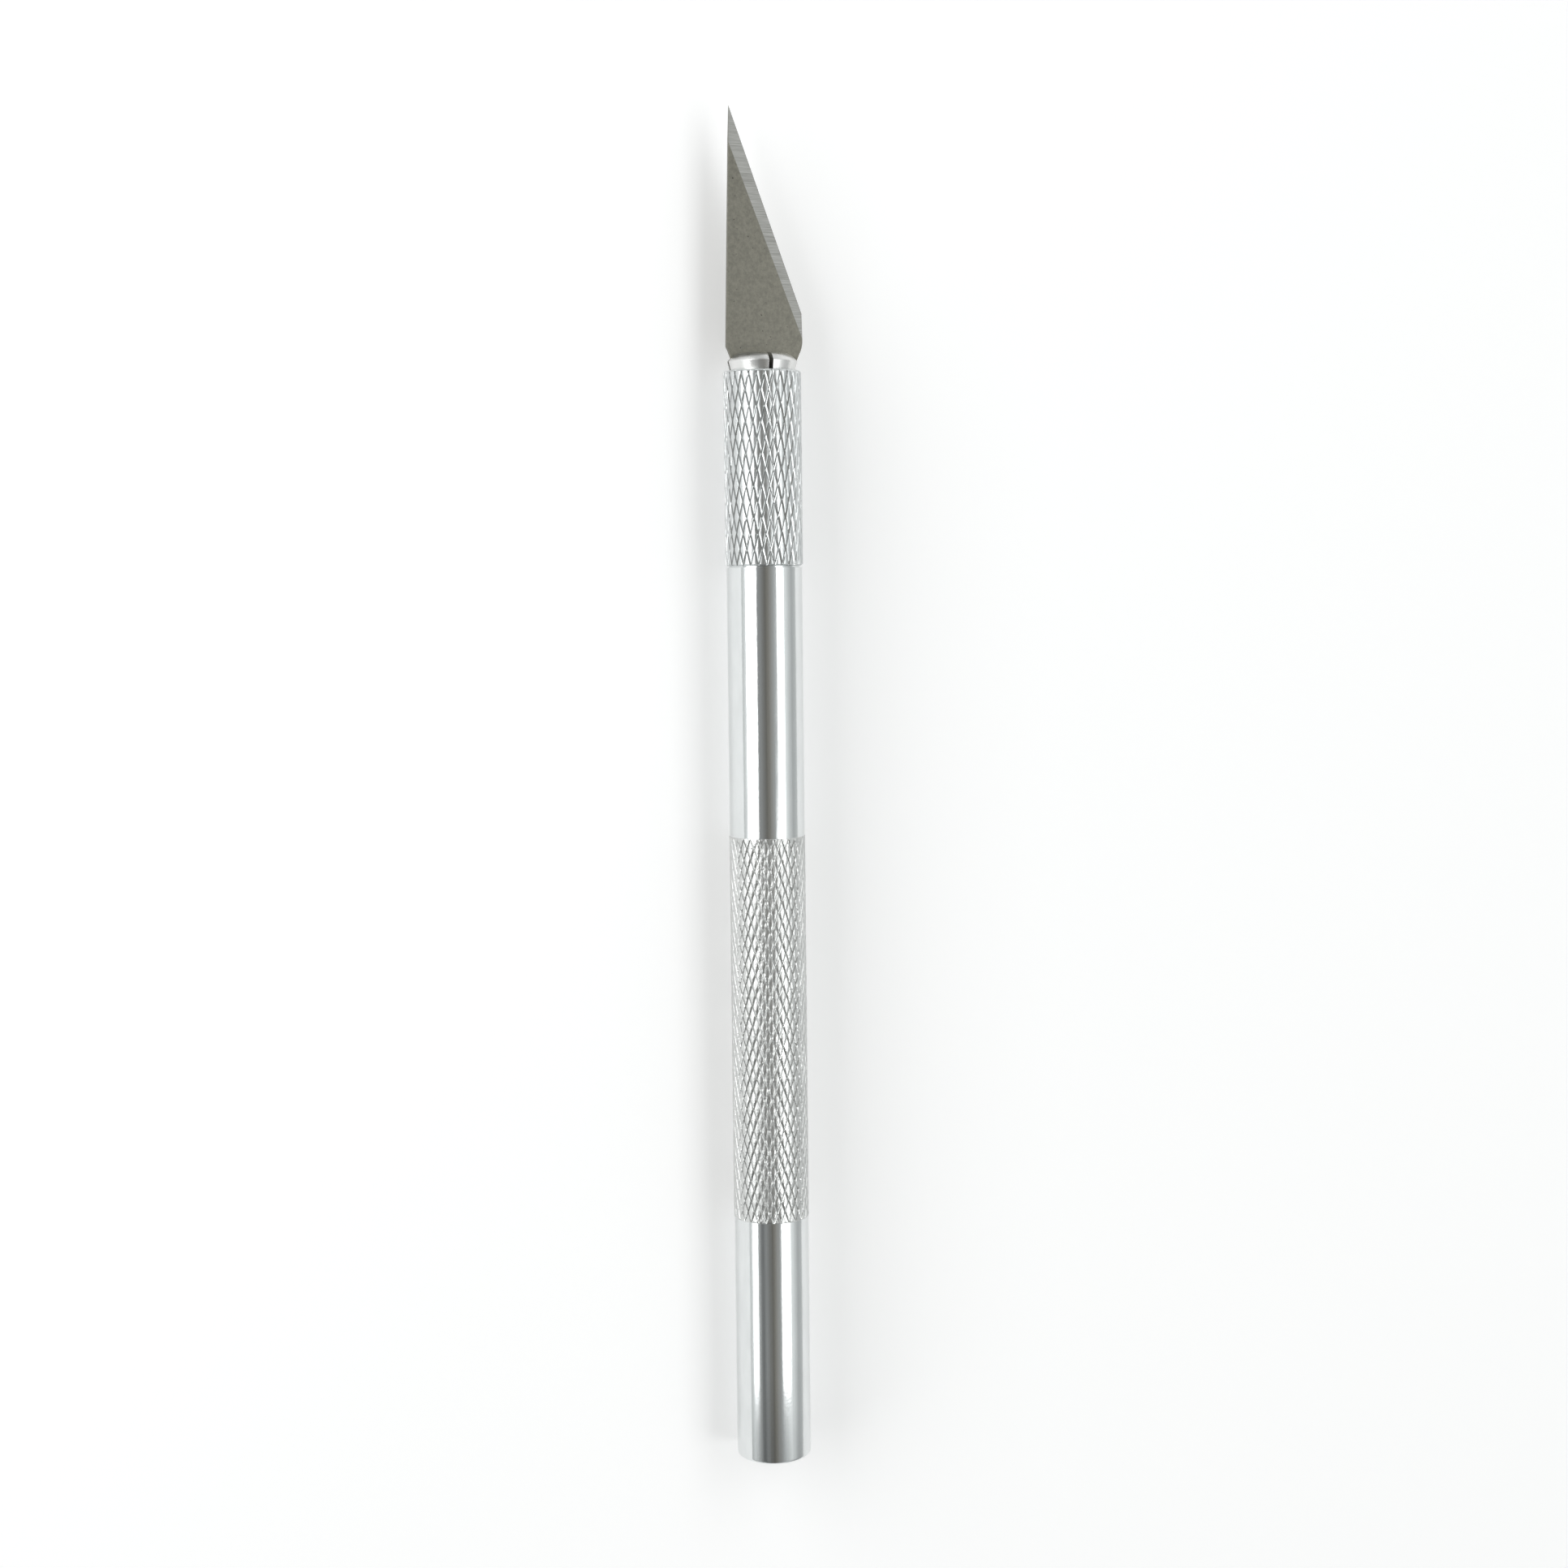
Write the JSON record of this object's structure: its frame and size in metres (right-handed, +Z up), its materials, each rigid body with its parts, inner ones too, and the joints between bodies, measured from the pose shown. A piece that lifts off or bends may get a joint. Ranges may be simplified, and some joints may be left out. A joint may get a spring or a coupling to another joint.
{
  "type": "hobby craft knife",
  "caption": "Slim metal craft knife: a round bar handle with a knurled grip, a knurled clamping sleeve over a slit collet, and a pointed replaceable blade.",
  "frame": {"origin": "middle of the handle's flat rear end, on the knife's axis", "axes": "+Y along the knife's axis towards the blade's point, +Z up and square to the blade's flat, +X towards the cutting edge's side"},
  "size_m": [0.0087, 0.1474, 0.0084],
  "materials": {
    "handle_aluminium": "satin turned bar, diamond-knurled grip",
    "sleeve_aluminium": "satin, long diamond knurl",
    "collet_aluminium": "bright turned",
    "blade_steel": "dull rolled carbon steel with a brighter ground bevel"
  },
  "bodies": {
    "handle": {"handle": "handle_aluminium"},
    "sleeve": {"clamping_sleeve": "sleeve_aluminium"},
    "collet": {"collet_core": "collet_aluminium"},
    "jaw_upper_right": {"jaw_upper_right": "collet_aluminium"},
    "jaw_upper_left": {"jaw_upper_left": "collet_aluminium"},
    "jaw_lower_left": {"jaw_lower_left": "collet_aluminium"},
    "jaw_lower_right": {"jaw_lower_right": "collet_aluminium"},
    "blade": {"blade": "blade_steel"}
  },
  "joints": [
    {"name": "sleeve_turn", "type": "hinge", "parent": "handle", "child": "sleeve", "pos_m": [0, 0.1091, 0], "axis": [0, 1, 0], "range_deg": [0, 630]},
    {"name": "collet_draw", "type": "slide", "parent": "sleeve", "child": "collet", "axis": [0, 1, 0], "range_m": [0, 0.00124]},
    {"name": "upper_right_flex", "type": "hinge", "parent": "collet", "child": "jaw_upper_right", "pos_m": [0.00216, 0.1049, 0.00216], "axis": [0.7071, 0, -0.7071], "range_deg": [0, 0.65]},
    {"name": "upper_left_flex", "type": "hinge", "parent": "collet", "child": "jaw_upper_left", "pos_m": [-0.00216, 0.1049, 0.00216], "axis": [0.7071, 0, 0.7071], "range_deg": [0, 0.65]},
    {"name": "lower_left_flex", "type": "hinge", "parent": "collet", "child": "jaw_lower_left", "pos_m": [-0.00216, 0.1049, -0.00216], "axis": [-0.7071, 0, 0.7071], "range_deg": [0, 0.65]},
    {"name": "lower_right_flex", "type": "hinge", "parent": "collet", "child": "jaw_lower_right", "pos_m": [0.00216, 0.1049, -0.00216], "axis": [-0.7071, 0, -0.7071], "range_deg": [0, 0.65]},
    {"name": "blade_slide", "type": "slide", "parent": "collet", "child": "blade", "axis": [0, 1, 0], "range_m": [0, 0.016]}
  ],
  "couplings": [
    {"joint": "collet_draw", "follows": "sleeve_turn", "m_per_rad": 0.00011141},
    {"joint": "upper_right_flex", "follows": "sleeve_turn", "ratio": 0.001},
    {"joint": "upper_left_flex", "follows": "sleeve_turn", "ratio": 0.001},
    {"joint": "lower_left_flex", "follows": "sleeve_turn", "ratio": 0.001},
    {"joint": "lower_right_flex", "follows": "sleeve_turn", "ratio": 0.001}
  ]
}
